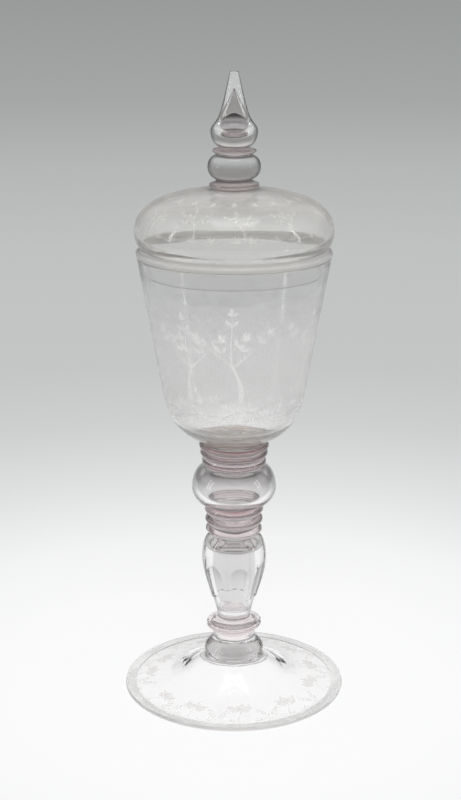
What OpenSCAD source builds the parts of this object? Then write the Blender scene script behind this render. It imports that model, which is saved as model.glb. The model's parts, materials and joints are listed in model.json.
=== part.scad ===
// Covered stem goblet of blown glass, in millimetres.
// It stands on the ring under its foot at z = 0, with its axis on +Z.
// Every gather and every bit of glass is a separate solid, and each one meets
// the next on a flat round joint, as the hot pieces do when they are stuck together.

/* [Foot] */
// Diameter of the foot
foot_d = 137.6; // [118:0.2:158]
// Thickness of the rounded rim of the foot
foot_rim_t = 2.6; // [1.6:0.1:4]
// Rise of the flat outer part of the foot, from the rim to the cone
foot_rise = 3.4; // [1:0.1:5]
// Diameter where the flat part turns up into the cone
foot_cone_d = 84; // [68:1:96]
// Height of the foot, up to the joint with the knop
foot_h = 21; // [16:0.1:28]
// Glass thickness of the foot between rim and cone
foot_wall = 2.6; // [1.6:0.1:4]
// Width of the ground ring that the goblet stands on
foot_land_w = 5.5; // [2:0.5:8]
// Depth of glass left over the pontil mark, under the joint
foot_core_h = 2.4; // [2:0.1:6]
// Diameter of the pontil mark in the middle of the underside
pontil_d = 15; // [8:1:22]
// Diameter of the joint between foot and foot knop
foot_joint_d = 35; // [30:0.5:36]

/* [Foot knop] */
// Diameter of the flattened knop above the foot
foot_knop_d = 36.8; // [36.2:0.2:44]
// Height of the foot knop
foot_knop_h = 12; // [9:0.1:18]
// Height of its widest place above its lower joint
foot_knop_waist_h = 3.2; // [2:0.1:6]
// Diameter of the joint between foot knop and collar
collar_joint_d = 25; // [20:0.5:26]
// Diameter of the thin collar above the foot knop
foot_collar_d = 26.6; // [26.2:0.1:34]
// Height of the collar
foot_collar_h = 5.2; // [2.5:0.1:7]
// Diameter of the joint between collar and lower merese
merese_joint_d = 24; // [18:0.5:26]

/* [Lower merese] */
// Diameter of the merese under the baluster
lower_merese_d = 34.4; // [28:0.2:42]
// Height of the merese
lower_merese_h = 7.2; // [5:0.1:12]
// Height of its round edge over the joint below
lower_merese_edge_h = 2.8; // [2.2:0.1:4]
// Thickness of its round edge
lower_merese_edge_t = 3.6; // [2:0.1:4.4]
// Diameter of the joint between merese and baluster neck
neck_joint_d = 20.4; // [16:0.2:24]

/* [Baluster] */
// Height of the whole baluster, with its neck
baluster_h = 55.6; // [45:0.5:70]
// Largest diameter of the baluster
baluster_d = 40; // [36:0.2:48]
// Height of the largest diameter above the lower joint
baluster_bulge_h = 40.5; // [34:0.5:43]
// Diameter where the facets end, over the neck
baluster_hem_d = 29; // [27:0.2:32]
// Height of the neck, below the facets
neck_h = 14; // [8:0.5:15]
// Diameter of the neck at its top
neck_d = 26.4; // [22:0.2:27.4]
// Diameter of the joint between baluster and lower rings
baluster_joint_d = 27; // [20:0.5:29]
// Number of facets cut round the lower half
facet_count = 7; // [5:1:10]
// Turn of the first facet from the front, towards the right
facet_turn = 10; // [0:1:60]
// Depth of a facet at its lower end, inside the radius where the facets end
facet_low_cut = 1.1; // [0.6:0.1:1.6]
// Height where the facets run out, above the lower joint
facet_top_h = 38.6; // [35:0.2:40]
// Depth of a facet there, inside the largest radius
facet_high_cut = 0.1; // [0:0.05:1]
// Largest diameter of the air space in the baluster
baluster_hollow_d = 27.8; // [22:0.2:30]
// Diameter of the air space at its lower end
baluster_hollow_low_d = 18; // [12:0.2:19]
// Glass between the air space and the joint below it
baluster_floor_t = 4.4; // [3.5:0.1:9]
// Glass between the air space and the joint above it
baluster_roof_t = 6.2; // [4:0.1:8]
// Diameter of the hole where the bubble was cracked off the pipe
crack_off_d = 5; // [3:0.5:8]

/* [Lower rings] */
// Diameter of the lowest ring
lower_ring_1_d = 34.9; // [30:0.1:42]
// Height of the lowest ring
lower_ring_1_h = 6.4; // [3:0.1:9]
// Diameter of the middle ring
lower_ring_2_d = 35.4; // [30:0.1:42]
// Height of the middle ring
lower_ring_2_h = 6.4; // [3:0.1:9]
// Diameter of the highest ring
lower_ring_3_d = 36.2; // [30:0.1:42]
// Height of the highest ring
lower_ring_3_h = 6.8; // [3:0.1:9]
// Depth of the groove between two rings
ring_groove = 2.2; // [1:0.1:3]
// Fullness of the edges of the lower rings: 0.55 is a round edge, less a keener one
ring_fullness = 0.36; // [0.25:0.01:0.55]

/* [Stem knop] */
// Diameter of the hollow knop in the middle of the stem
knop_d = 51.6; // [46:0.2:60]
// Height of the knop
knop_h = 24.6; // [20:0.2:34]
// Height of its widest place above its lower joint
knop_waist_h = 11; // [9:0.2:14]
// Largest diameter of the air space in the knop
knop_hollow_d = 44; // [36:0.5:44.5]
// Diameter of the flat floor of the air space
knop_floor_d = 32; // [20:0.5:34]
// Diameter of its flat roof
knop_roof_d = 30; // [20:0.5:34]
// Glass under the air space
knop_floor_t = 4.4; // [3.4:0.1:9]
// Glass between the air space and the joint above it
knop_roof_t = 3.4; // [3:0.1:7]

/* [Upper rings] */
// Diameter of the lowest ring
upper_ring_1_d = 39.2; // [34:0.1:46]
// Height of the lowest ring
upper_ring_1_h = 6; // [3:0.1:9]
// Diameter of the middle ring
upper_ring_2_d = 41.2; // [34:0.1:46]
// Height of the middle ring
upper_ring_2_h = 4.8; // [2.5:0.1:8]
// Diameter of the highest ring
upper_ring_3_d = 42.6; // [38:0.1:48]
// Height of the highest ring
upper_ring_3_h = 4.4; // [2:0.1:6]

/* [Bowl] */
// Diameter over the rim of the bowl
bowl_d = 115; // [100:0.5:130]
// Height of the bowl
bowl_h = 114.6; // [95:0.5:140]
// Height of the place where the straight wall turns into the round base
bowl_turn_h = 31.5; // [24:0.5:42]
// Slope of the straight wall, in mm of radius for one mm of height
bowl_taper = 0.176; // [0.12:0.002:0.22]
// Glass thickness at the rim
bowl_rim_wall = 2.2; // [1.5:0.1:3.5]
// Glass thickness where the wall turns into the base
bowl_turn_wall = 2.6; // [1.8:0.1:4]
// Height of the short neck under the base
bowl_neck_h = 5.4; // [3:0.2:8]
// Depth of glass in the middle of the base, with the neck
bowl_base_t = 6.4; // [6:0.2:10]

/* [Cover] */
// Overhang of the cover's rolled rim past the rim of the bowl
cover_overhang = 0.6; // [0.2:0.1:3]
// Thickness of the rolled rim
cover_rim_t = 3.4; // [2:0.1:5]
// Overhang of the dome's largest diameter past the rim of the bowl
dome_overhang = 1.2; // [0:0.1:3]
// Height of the dome over the rim of the bowl
dome_h = 38.6; // [30:0.5:50]
// Height of the largest diameter over the rim of the bowl
dome_bulge_h = 14.6; // [11:0.2:19]
// Depth of the waist between dome and rolled rim, inside the rim of the bowl
dome_waist_in = 1.7; // [0.5:0.1:2]
// Glass thickness of the dome
dome_wall = 2.4; // [1.6:0.1:4]
// Depth of the collar that hangs into the bowl
collar_h = 10.6; // [6:0.2:16]
// Glass thickness of the collar
collar_wall = 2; // [1.2:0.1:3]
// Gap between collar and bowl at the lower edge of the collar
collar_clearance = 0.9; // [0.4:0.1:2]

/* [Cover knop] */
// Diameter of the thin wafer on top of the dome
wafer_d = 23.4; // [20:0.2:27]
// Height of the wafer
wafer_h = 1.4; // [1:0.1:3]
// Diameter of the merese on the wafer
cover_merese_d = 29.4; // [24:0.2:34]
// Height of the merese
cover_merese_h = 5.2; // [3.6:0.1:8]
// Height of its round edge over the joint below
cover_merese_edge_h = 1.7; // [1.4:0.1:2.2]
// Thickness of its round edge
cover_merese_edge_t = 2.6; // [1.6:0.1:2.8]
// Diameter of the solid knop of the cover
cover_knop_d = 31.2; // [28:0.2:38]
// Height of the knop
cover_knop_h = 13.8; // [10:0.2:20]
// Diameter of the joints above and below the knop
cover_joint_d = 20; // [14:0.5:22]

/* [Finial] */
// Diameter of the merese under the finial
finial_merese_d = 26; // [23:0.2:30]
// Height of the merese
finial_merese_h = 5; // [3:0.1:8]
// Height of its round edge over the joint below
finial_merese_edge_h = 2.4; // [1.2:0.1:3]
// Thickness of its round edge
finial_merese_edge_t = 1.8; // [1:0.1:2.4]
// Diameter of the joint between merese and finial
finial_joint_d = 17; // [12:0.5:20]
// Largest diameter of the finial
finial_d = 27.6; // [24:0.2:34]
// Height of the finial
finial_h = 42.4; // [34:0.5:56]
// Height of the largest diameter over the lower joint
finial_bulge_h = 8.4; // [6:0.2:12]
// Diameter where the bulb turns into the drawn point
finial_neck_d = 18.8; // [15:0.2:22]
// Height of that place over the lower joint
finial_neck_h = 16.4; // [14:0.2:20]
// Diameter of the cut tip
finial_tip_d = 5.2; // [3:0.2:8]
// Largest diameter of the air tear in the finial
tear_d = 17; // [10:0.2:18]
// Height of the air tear
tear_h = 27.7; // [20:0.1:30]
// Glass between the air tear and the joint below it
tear_floor_h = 5.6; // [3:0.1:7]

/* [Hidden] */

// Straight pieces in one curve of a profile
steps = 12;
// Share of a quarter ellipse's side at which its Bezier handles lie
round_k = 0.5523;
// Rise of the crown of an air space, as a share of its half width
crown = 0.25;
// Rise of the floor of an air space, as a share of its half width there
hollow_floor = 0.3;
// How far a cutter reaches past the face that it opens
past = 1;
$fn = 180;

clear_glass = "GhostWhite";
rose_glass = "MistyRose";

// Joint radius between two neighbouring rings of a stack
function groove_r(d_a, d_b) = min(d_a, d_b) / 2 - ring_groove;

// Heights of the joints, from the table upwards
foot_knop_z = foot_h;
foot_collar_z = foot_knop_z + foot_knop_h;
lower_merese_z = foot_collar_z + foot_collar_h;
baluster_z = lower_merese_z + lower_merese_h;
lower_ring_1_z = baluster_z + baluster_h;
lower_ring_2_z = lower_ring_1_z + lower_ring_1_h;
lower_ring_3_z = lower_ring_2_z + lower_ring_2_h;
stem_knop_z = lower_ring_3_z + lower_ring_3_h;
upper_ring_1_z = stem_knop_z + knop_h;
upper_ring_2_z = upper_ring_1_z + upper_ring_1_h;
upper_ring_3_z = upper_ring_2_z + upper_ring_2_h;
bowl_z = upper_ring_3_z + upper_ring_3_h;
rim_z = bowl_z + bowl_h;
cover_wafer_z = rim_z + dome_h;
cover_merese_z = cover_wafer_z + wafer_h;
cover_knop_z = cover_merese_z + cover_merese_h;
finial_merese_z = cover_knop_z + cover_knop_h;
finial_z = finial_merese_z + finial_merese_h;

// Radii of the joints that two pieces share
knop_low_joint_r = lower_ring_3_d / 2 - ring_groove;
knop_high_joint_r = upper_ring_1_d / 2 - ring_groove;
bowl_joint_r = upper_ring_3_d / 2 - ring_groove / 2;
wafer_joint_r = wafer_d / 2 - wafer_h / 2;

// Bowl and collar
bowl_rim_r = bowl_d / 2;
bowl_turn_r = bowl_rim_r - bowl_taper * (bowl_h - bowl_turn_h);
bowl_rim_in_r = bowl_rim_r - bowl_rim_wall;
bowl_turn_in_r = bowl_turn_r - bowl_turn_wall;
bowl_in_taper = (bowl_rim_in_r - bowl_turn_in_r) / (bowl_h - bowl_turn_h);
collar_r = bowl_rim_in_r - bowl_in_taper * collar_h - collar_clearance;
collar_in_r = collar_r - collar_wall;
cover_rim_r = bowl_rim_r + cover_overhang;
dome_r = bowl_rim_r + dome_overhang;
dome_waist_r = bowl_rim_r - dome_waist_in;

// Points of a cubic Bezier curve
function bezier(a, b, c, d, n = steps) =
    [for (i = [0 : n]) let (t = i / n, u = 1 - t)
        u * u * u * a + 3 * u * u * t * b + 3 * u * t * t * c + t * t * t * d];

// Quarter of an ellipse from a to b. It leaves a level and reaches b upright,
// or the other way round where upright_first is set.
function quarter(a, b, upright_first = false, n = steps, k = round_k) =
    upright_first
    ? bezier(a, [a[0], a[1] + k * (b[1] - a[1])], [b[0] + k * (a[0] - b[0]), b[1]], b, n)
    : bezier(a, [a[0] + k * (b[0] - a[0]), a[1]], [b[0], b[1] + k * (a[1] - b[1])], b, n);

// Curves joined end to end, with their shared points kept once
function chain(curves) =
    [for (i = [0 : len(curves) - 1]) for (j = [(i == 0 ? 0 : 1) : len(curves[i]) - 1]) curves[i][j]];

// Half circle round the point [r, z], from its lowest point over its outermost to its highest
function round_edge(r, z, edge_r) =
    [for (i = [0 : steps]) let (a = -90 + 180 * i / steps) [r + edge_r * cos(a), z + edge_r * sin(a)]];

// A profile of [radius, height] points turned round the axis
module turned(profile) rotate_extrude() polygon(profile);

// A solid bead of glass: flat joints below and above, and a round edge between
module bead(low_r, edge_r, high_r, edge_h, h, k = round_k) {
    turned(concat(
        [[0, 0]],
        chain([quarter([low_r, 0], [edge_r, edge_h], k = k),
               quarter([edge_r, edge_h], [high_r, h], upright_first = true, k = k)]),
        [[0, h]]));
}

// A merese: a thin disc with a round edge, sloping to a joint below and one above
module merese(low_r, edge_r, high_r, edge_h, edge_t, h) {
    round_r = edge_t / 2;
    in_r = edge_r - round_r;
    flat_share = 0.4;
    drawn_out = 0.4;
    drawn_up = 0.6;
    turned(concat(
        [[0, 0], [low_r, 0]],
        round_edge(in_r, edge_h, round_r),
        bezier([in_r, edge_h + round_r], [in_r + (high_r - in_r) * flat_share, edge_h + round_r],
               [high_r + drawn_out, h - drawn_up], [high_r, h]),
        [[0, h]]));
}

// A bead whose widest place is half way up
module ring(d, h, low_r, high_r, k = round_k) bead(low_r, d / 2, high_r, h / 2, h, k);

// Flat disc of a foot, drawn up into a hollow cone under the stem
module foot() {
    rim_r = foot_rim_t / 2;
    edge_r = foot_d / 2 - rim_r;
    cone_r = foot_cone_d / 2;
    cone_z = foot_rim_t + foot_rise;
    seat_r = foot_joint_d / 2;
    land_in_r = edge_r - foot_land_w;
    under_r = cone_r - foot_wall / 2;
    core_z = foot_h - foot_core_h;
    under_z = cone_z - foot_wall;
    pontil_r = pontil_d / 2;
    land_step = foot_rim_t / 4;
    flat_w = edge_r - cone_r;
    cone_w = cone_r - seat_r;
    under_w = under_r - pontil_r;
    over = bezier([edge_r, foot_rim_t], [edge_r - flat_w * 0.3, foot_rim_t + foot_rise * 0.2],
                  [cone_r + flat_w * 0.3, cone_z - foot_rise * 0.3], [cone_r, cone_z]);
    cone_h = foot_h - cone_z;
    cone = bezier([cone_r, cone_z], [cone_r - cone_w * 0.45, cone_z + cone_h * 0.2],
                  [seat_r + cone_w * 0.28, foot_h - cone_h * 0.45], [seat_r, foot_h]);
    under_cone = bezier([pontil_r, core_z], [pontil_r + under_w * 0.38, core_z],
                        [under_r - under_w * 0.42, under_z + cone_h * 0.25], [under_r, under_z]);
    color(clear_glass) turned(concat(
        chain([round_edge(edge_r, rim_r, rim_r), over, cone]),
        [[0, foot_h], [0, core_z]],
        under_cone,
        [[land_in_r, land_step], [land_in_r, 0]]));
}

// Solid flattened knop on the foot
module foot_knop() {
    edge_r = foot_knop_d / 2;
    top_r = collar_joint_d / 2;
    slope_h = foot_knop_h - foot_knop_waist_h;
    color(clear_glass) translate([0, 0, foot_knop_z])
        turned(concat(
            [[0, 0]],
            chain([quarter([foot_joint_d / 2, 0], [edge_r, foot_knop_waist_h]),
                   bezier([edge_r, foot_knop_waist_h], [edge_r, foot_knop_waist_h + slope_h * 0.35],
                          [top_r + 1.6, foot_knop_h - slope_h * 0.3], [top_r, foot_knop_h])]),
            [[0, foot_knop_h]]));
}

// Thin collar over the foot knop
module foot_collar() {
    color(rose_glass) translate([0, 0, foot_collar_z])
        ring(foot_collar_d, foot_collar_h, collar_joint_d / 2, merese_joint_d / 2);
}

// Wide merese under the baluster
module lower_merese() {
    color(rose_glass) translate([0, 0, lower_merese_z])
        merese(merese_joint_d / 2, lower_merese_d / 2, neck_joint_d / 2,
               lower_merese_edge_h, lower_merese_edge_t, lower_merese_h);
}

// Outline of the baluster from the lower joint to the upper one
function baluster_outline() = let (
    hem_r = baluster_hem_d / 2,
    bulge_r = baluster_d / 2,
    hem_h = (baluster_hem_d - neck_d) / 2)
    chain([
        bezier([neck_joint_d / 2, 0], [neck_joint_d / 2, neck_h * 0.3],
               [neck_d / 2 - 0.6, neck_h * 0.7], [neck_d / 2, neck_h]),
        quarter([neck_d / 2, neck_h], [hem_r, neck_h + hem_h]),
        bezier([hem_r, neck_h + hem_h], [hem_r + 2.2, neck_h + hem_h + 8],
               [bulge_r, baluster_bulge_h - 9], [bulge_r, baluster_bulge_h]),
        quarter([bulge_r, baluster_bulge_h], [baluster_joint_d / 2, baluster_h], upright_first = true)]);

// Air space of the baluster, open at the top where the ring above seals it
function baluster_hollow() = let (
    low = baluster_floor_t,
    high = baluster_h - baluster_roof_t,
    wide = baluster_hollow_d / 2,
    narrow = baluster_hollow_low_d / 2,
    wide_z = high - wide * crown,
    narrow_z = low + narrow * hollow_floor,
    rise = wide_z - narrow_z)
    concat(
        chain([quarter([0, low], [narrow, narrow_z]),
               bezier([narrow, narrow_z], [narrow, narrow_z + rise * 0.2],
                      [wide, wide_z - rise * 0.6], [wide, wide_z]),
               quarter([wide, wide_z], [crack_off_d / 2, high], upright_first = true)]),
        [[crack_off_d / 2, baluster_h + past], [0, baluster_h + past]]);

// Plane of one facet: everything outside it is ground away
module facet_cutter() {
    facet_low_r = baluster_hem_d / 2 - facet_low_cut;
    facet_high_r = baluster_d / 2 - facet_high_cut;
    lean = atan((facet_high_r - facet_low_r) / (facet_top_h - neck_h));
    long = baluster_h;
    deep = baluster_d;
    translate([facet_low_r, 0, neck_h]) rotate([0, lean, 0])
        translate([0, -deep / 2, -neck_h / 4]) cube([deep, deep, long]);
}

// Hollow inverted baluster with flat facets round its lower half
module baluster() {
    color(clear_glass) translate([0, 0, baluster_z]) difference() {
        turned(concat([[0, 0]], baluster_outline(), [[0, baluster_h]]));
        turned(baluster_hollow());
        for (i = [0 : facet_count - 1])
            rotate([0, 0, -90 + facet_turn + i * 360 / facet_count]) facet_cutter();
    }
}

// Three rings between baluster and stem knop
module lower_ring_1() {
    color(rose_glass) translate([0, 0, lower_ring_1_z])
        ring(lower_ring_1_d, lower_ring_1_h, baluster_joint_d / 2,
             groove_r(lower_ring_1_d, lower_ring_2_d), ring_fullness);
}

module lower_ring_2() {
    color(rose_glass) translate([0, 0, lower_ring_2_z])
        ring(lower_ring_2_d, lower_ring_2_h, groove_r(lower_ring_1_d, lower_ring_2_d),
             groove_r(lower_ring_2_d, lower_ring_3_d), ring_fullness);
}

module lower_ring_3() {
    color(rose_glass) translate([0, 0, lower_ring_3_z])
        ring(lower_ring_3_d, lower_ring_3_h, groove_r(lower_ring_2_d, lower_ring_3_d), knop_low_joint_r,
             ring_fullness);
}

// Hollow flattened knop in the middle of the stem
module stem_knop() {
    hollow_r = knop_hollow_d / 2;
    hollow_top = knop_h - knop_roof_t;
    hollow_mid = knop_floor_t + (hollow_top - knop_floor_t) * 0.4;
    color(clear_glass) translate([0, 0, stem_knop_z]) difference() {
        bead(knop_low_joint_r, knop_d / 2, knop_high_joint_r, knop_waist_h, knop_h);
        turned(concat(
            [[0, knop_floor_t]],
            chain([quarter([knop_floor_d / 2, knop_floor_t], [hollow_r, hollow_mid]),
                   quarter([hollow_r, hollow_mid], [knop_roof_d / 2, hollow_top], upright_first = true)]),
            [[crack_off_d / 2, hollow_top], [crack_off_d / 2, knop_h + past], [0, knop_h + past]]));
    }
}

// Three rings between stem knop and bowl
module upper_ring_1() {
    color(rose_glass) translate([0, 0, upper_ring_1_z])
        ring(upper_ring_1_d, upper_ring_1_h, knop_high_joint_r, groove_r(upper_ring_1_d, upper_ring_2_d));
}

module upper_ring_2() {
    color(rose_glass) translate([0, 0, upper_ring_2_z])
        ring(upper_ring_2_d, upper_ring_2_h, groove_r(upper_ring_1_d, upper_ring_2_d),
             groove_r(upper_ring_2_d, upper_ring_3_d));
}

module upper_ring_3() {
    color(rose_glass) translate([0, 0, upper_ring_3_z])
        ring(upper_ring_3_d, upper_ring_3_h, groove_r(upper_ring_2_d, upper_ring_3_d), bowl_joint_r);
}

// Bucket bowl: straight tapering wall over a round base, open at the top
module bowl() {
    lip = bowl_rim_wall * 0.3;
    lean = bowl_turn_h * 0.85;
    lean_in = (bowl_turn_h - bowl_base_t) * 0.88;
    outside = chain([
        bezier([bowl_joint_r, 0], [bowl_joint_r + 3, bowl_neck_h],
               [bowl_turn_r - bowl_taper * lean, bowl_turn_h - lean], [bowl_turn_r, bowl_turn_h]),
        [[bowl_turn_r, bowl_turn_h], [bowl_rim_r - bowl_taper * lip, bowl_h - lip]],
        quarter([bowl_rim_r - bowl_taper * lip, bowl_h - lip], [bowl_rim_r - lip, bowl_h],
                upright_first = true, n = 4)]);
    inside = chain([
        quarter([bowl_rim_in_r + lip, bowl_h], [bowl_rim_in_r - bowl_in_taper * lip, bowl_h - lip], n = 4),
        [[bowl_rim_in_r - bowl_in_taper * lip, bowl_h - lip], [bowl_turn_in_r, bowl_turn_h]],
        bezier([bowl_turn_in_r, bowl_turn_h],
               [bowl_turn_in_r - bowl_taper * lean_in, bowl_turn_h - lean_in],
               [bowl_turn_in_r * 0.75, bowl_base_t], [0, bowl_base_t])]);
    color(clear_glass) translate([0, 0, bowl_z])
        turned(concat([[0, 0]], outside, inside));
}

// Domed cover with a rolled rim that rests on the bowl, and a collar that hangs into it
module cover_dome() {
    rim_r = cover_rim_t / 2;
    edge_r = cover_rim_r - rim_r;
    bulge_in_r = dome_r - dome_wall;
    top_in = dome_h - dome_wall;
    collar_edge = collar_wall / 2;
    waist_rise = 1.4;
    waist_h = cover_rim_t + waist_rise;
    bulge_drop = (dome_bulge_h - waist_h) * 0.62;
    shoulder_rise = (dome_h - dome_bulge_h) * 0.625;
    shoulder_share = 0.72;
    outside = chain([
        round_edge(edge_r, rim_r, rim_r),
        bezier([edge_r, cover_rim_t], [dome_waist_r + 0.2, cover_rim_t],
               [dome_waist_r, waist_h - waist_rise / 2], [dome_waist_r, waist_h]),
        bezier([dome_waist_r, waist_h], [dome_waist_r, waist_h + bulge_drop * 0.3],
               [dome_r, dome_bulge_h - bulge_drop], [dome_r, dome_bulge_h]),
        bezier([dome_r, dome_bulge_h], [dome_r, dome_bulge_h + shoulder_rise],
               [dome_r * shoulder_share, dome_h], [wafer_joint_r, dome_h])]);
    inside = chain([
        bezier([0, top_in], [bulge_in_r * shoulder_share, top_in], [bulge_in_r, dome_bulge_h + shoulder_rise],
               [bulge_in_r, dome_bulge_h]),
        bezier([bulge_in_r, dome_bulge_h], [bulge_in_r, dome_bulge_h - bulge_drop],
               [collar_in_r, cover_rim_t + bulge_drop * 0.65], [collar_in_r, cover_rim_t])]);
    hem = [for (i = [0 : steps]) let (a = 180 + 180 * i / steps)
        [collar_in_r + collar_edge + collar_edge * cos(a), -collar_h + collar_edge + collar_edge * sin(a)]];
    color(clear_glass) translate([0, 0, rim_z])
        turned(concat(outside, [[0, dome_h]], inside, hem, [[collar_r, 0]]));
}

// Thin wafer that sticks the cover's knop to the dome
module cover_wafer() {
    color(rose_glass) translate([0, 0, cover_wafer_z])
        ring(wafer_d, wafer_h, wafer_joint_r, wafer_joint_r);
}

// Merese on the wafer
module cover_merese() {
    color(rose_glass) translate([0, 0, cover_merese_z])
        merese(wafer_joint_r, cover_merese_d / 2, cover_joint_d / 2,
               cover_merese_edge_h, cover_merese_edge_t, cover_merese_h);
}

// Solid flattened knop of the cover
module cover_knop() {
    color(clear_glass) translate([0, 0, cover_knop_z])
        ring(cover_knop_d, cover_knop_h, cover_joint_d / 2, cover_joint_d / 2);
}

// Merese under the finial, with a sloping underside
module finial_merese() {
    color(rose_glass) translate([0, 0, finial_merese_z])
        merese(cover_joint_d / 2, finial_merese_d / 2, finial_joint_d / 2,
               finial_merese_edge_h, finial_merese_edge_t, finial_merese_h);
}

// Pointed finial over an air tear that the merese below it seals
module finial() {
    edge_r = finial_d / 2;
    tip_r = finial_tip_d / 2;
    neck_r = finial_neck_d / 2;
    bulb_h = finial_neck_h - finial_bulge_h;
    drawn_h = finial_h - finial_neck_h;
    outline = chain([
        quarter([finial_joint_d / 2, 0], [edge_r, finial_bulge_h]),
        bezier([edge_r, finial_bulge_h], [edge_r, finial_bulge_h + bulb_h * 0.4],
               [neck_r + bulb_h * 0.19, finial_neck_h - bulb_h * 0.38], [neck_r, finial_neck_h]),
        bezier([neck_r, finial_neck_h], [neck_r - drawn_h * 0.09, finial_neck_h + drawn_h * 0.18],
               [tip_r + drawn_h * 0.076, finial_h - drawn_h * 0.34], [tip_r + 0.1, finial_h - 1]),
        quarter([tip_r + 0.1, finial_h - 1], [tip_r - 0.8, finial_h], upright_first = true, n = 4)]);
    tear_r = tear_d / 2;
    tear_z = tear_floor_h + tear_r * 0.5;
    tear_top = tear_floor_h + tear_h;
    prick_r = crack_off_d / 4;
    color(clear_glass) translate([0, 0, finial_z]) difference() {
        turned(concat([[0, 0]], outline, [[0, finial_h]]));
        turned(concat(
            [[0, -past], [prick_r, -past], [prick_r, tear_floor_h]],
            chain([quarter([prick_r, tear_floor_h], [tear_r, tear_z]),
                   bezier([tear_r, tear_z], [tear_r, tear_z + tear_h * 0.13],
                          [tear_r * 0.4, tear_top - tear_h * 0.445], [0, tear_top])])));
    }
}

foot();
foot_knop();
foot_collar();
lower_merese();
baluster();
lower_ring_1();
lower_ring_2();
lower_ring_3();
stem_knop();
upper_ring_1();
upper_ring_2();
upper_ring_3();
bowl();
cover_dome();
cover_wafer();
cover_merese();
cover_knop();
finial_merese();
finial();
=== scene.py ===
# %% [markdown]
# # A covered goblet of engraved glass
#
# The goblet was blown and put together hot, out of separate gathers of glass: a sloping foot, beads and
# rings, a hollow baluster, a hollow knop, a bucket bowl, and a loose cover with a pointed finial. Almost
# everything that the eye sees in such a piece is refraction, so the lesson is about clean, smooth, closed
# surfaces. The measured solids are loaded first and stay where they are. Every new surface takes its
# outline from them.

# %% Load the measured solids
import json
import math

import bpy
import numpy as np
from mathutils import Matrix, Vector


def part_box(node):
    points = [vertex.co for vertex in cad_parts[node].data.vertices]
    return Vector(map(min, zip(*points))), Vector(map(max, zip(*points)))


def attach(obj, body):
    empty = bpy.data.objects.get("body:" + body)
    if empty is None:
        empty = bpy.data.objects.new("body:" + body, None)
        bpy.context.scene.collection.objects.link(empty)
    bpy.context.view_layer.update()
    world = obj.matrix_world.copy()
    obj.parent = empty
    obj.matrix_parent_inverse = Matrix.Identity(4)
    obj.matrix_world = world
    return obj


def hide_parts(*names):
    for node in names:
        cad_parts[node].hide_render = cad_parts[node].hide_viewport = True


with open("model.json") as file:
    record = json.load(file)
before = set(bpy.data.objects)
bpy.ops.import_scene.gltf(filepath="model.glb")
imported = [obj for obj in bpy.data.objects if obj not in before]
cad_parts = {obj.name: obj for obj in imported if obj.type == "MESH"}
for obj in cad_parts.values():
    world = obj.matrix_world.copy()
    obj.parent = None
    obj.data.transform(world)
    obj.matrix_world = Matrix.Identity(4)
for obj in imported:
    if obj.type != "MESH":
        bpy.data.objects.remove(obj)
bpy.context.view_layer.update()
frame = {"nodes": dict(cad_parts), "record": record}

MM = 0.001
BODY_OF = {node: body for body, nodes in frame["record"]["behaviour"]["bodies"].items() for node in nodes}
SLOT_OF = {part["node"]: part["material_slot"] for part in frame["record"]["subparts"]}
print("solids:", len(BODY_OF), "bodies:", sorted(set(BODY_OF.values())))

# %% [markdown]
# ## Reading an outline
#
# A gather of glass is shaped while it turns, so nearly every piece is round and one outline describes it.
# The outline could be typed in again as numbers, but then a later change of a solid would leave the glass
# behind. Here it is read off the solid: a vertex's ring is its distance from the axis and its height, and
# two rings are neighbours when an edge joins them. A walk from one end to the other gives the outline,
# without the rings that only divide a straight run.

# %% Outline of a turned solid
RING_GAP = 1e-6
STRAIGHT = math.radians(0.1)


def cluster(values):
    """Group number of each value: sorted values stay together while they are less than RING_GAP apart."""
    order = np.argsort(values)
    group = np.empty(len(values), int)
    group[order] = np.concatenate([[0], np.cumsum(np.diff(values[order]) > RING_GAP)])
    return group


def rings_of(node):
    """Rings of a solid as rows of radius and height, and the pairs of rings that an edge joins."""
    mesh = frame["nodes"][node].data
    points = np.empty(len(mesh.vertices) * 3)
    mesh.vertices.foreach_get("co", points)
    points = points.reshape(-1, 3)
    radius, height = np.hypot(points[:, 0], points[:, 1]), points[:, 2]
    label = np.stack([cluster(radius), cluster(height)], 1)
    _, first, ring = np.unique(label, axis=0, return_index=True, return_inverse=True)
    edges = np.empty(len(mesh.edges) * 2, np.int32)
    mesh.edges.foreach_get("vertices", edges)
    pairs = np.unique(np.sort(ring.reshape(-1)[edges].reshape(-1, 2), axis=1), axis=0)
    return np.stack([radius[first], height[first]], 1), pairs[pairs[:, 0] != pairs[:, 1]]


def outline_of(node):
    """Outline from axis to axis, with the glass on its left: the rings in the order of a walk along pairs."""
    rings, pairs = rings_of(node)
    links = {ring: set() for ring in range(len(rings))}
    for a, b in pairs.tolist():
        links[a].add(b)
        links[b].add(a)
    walk = [min(ring for ring, near in links.items() if len(near) == 1)]
    while len(walk) < len(rings):
        walk.append((links[walk[-1]] - set(walk[-2:])).pop())
    path = rings[walk]
    path = np.vstack([path[:1] * [0, 1], path, path[-1:] * [0, 1]])
    path = path[np.concatenate([[True], np.linalg.norm(np.diff(path, axis=0), axis=1) > RING_GAP])]
    way = np.diff(path, axis=0)
    bend = np.diff(np.arctan2(way[:, 1], way[:, 0]))
    path = path[np.concatenate([[True], np.abs(np.sin(bend)) > math.sin(STRAIGHT), [True]])]
    area = np.sum(path[:, 0] * np.roll(path[:, 1], -1) - np.roll(path[:, 0], -1) * path[:, 1])
    return path if area > 0 else path[::-1]


OUTLINE = {node: outline_of(node) for node in BODY_OF if node != "baluster"}
print("outlines:", {node: len(path) for node, path in OUTLINE.items()})

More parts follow.
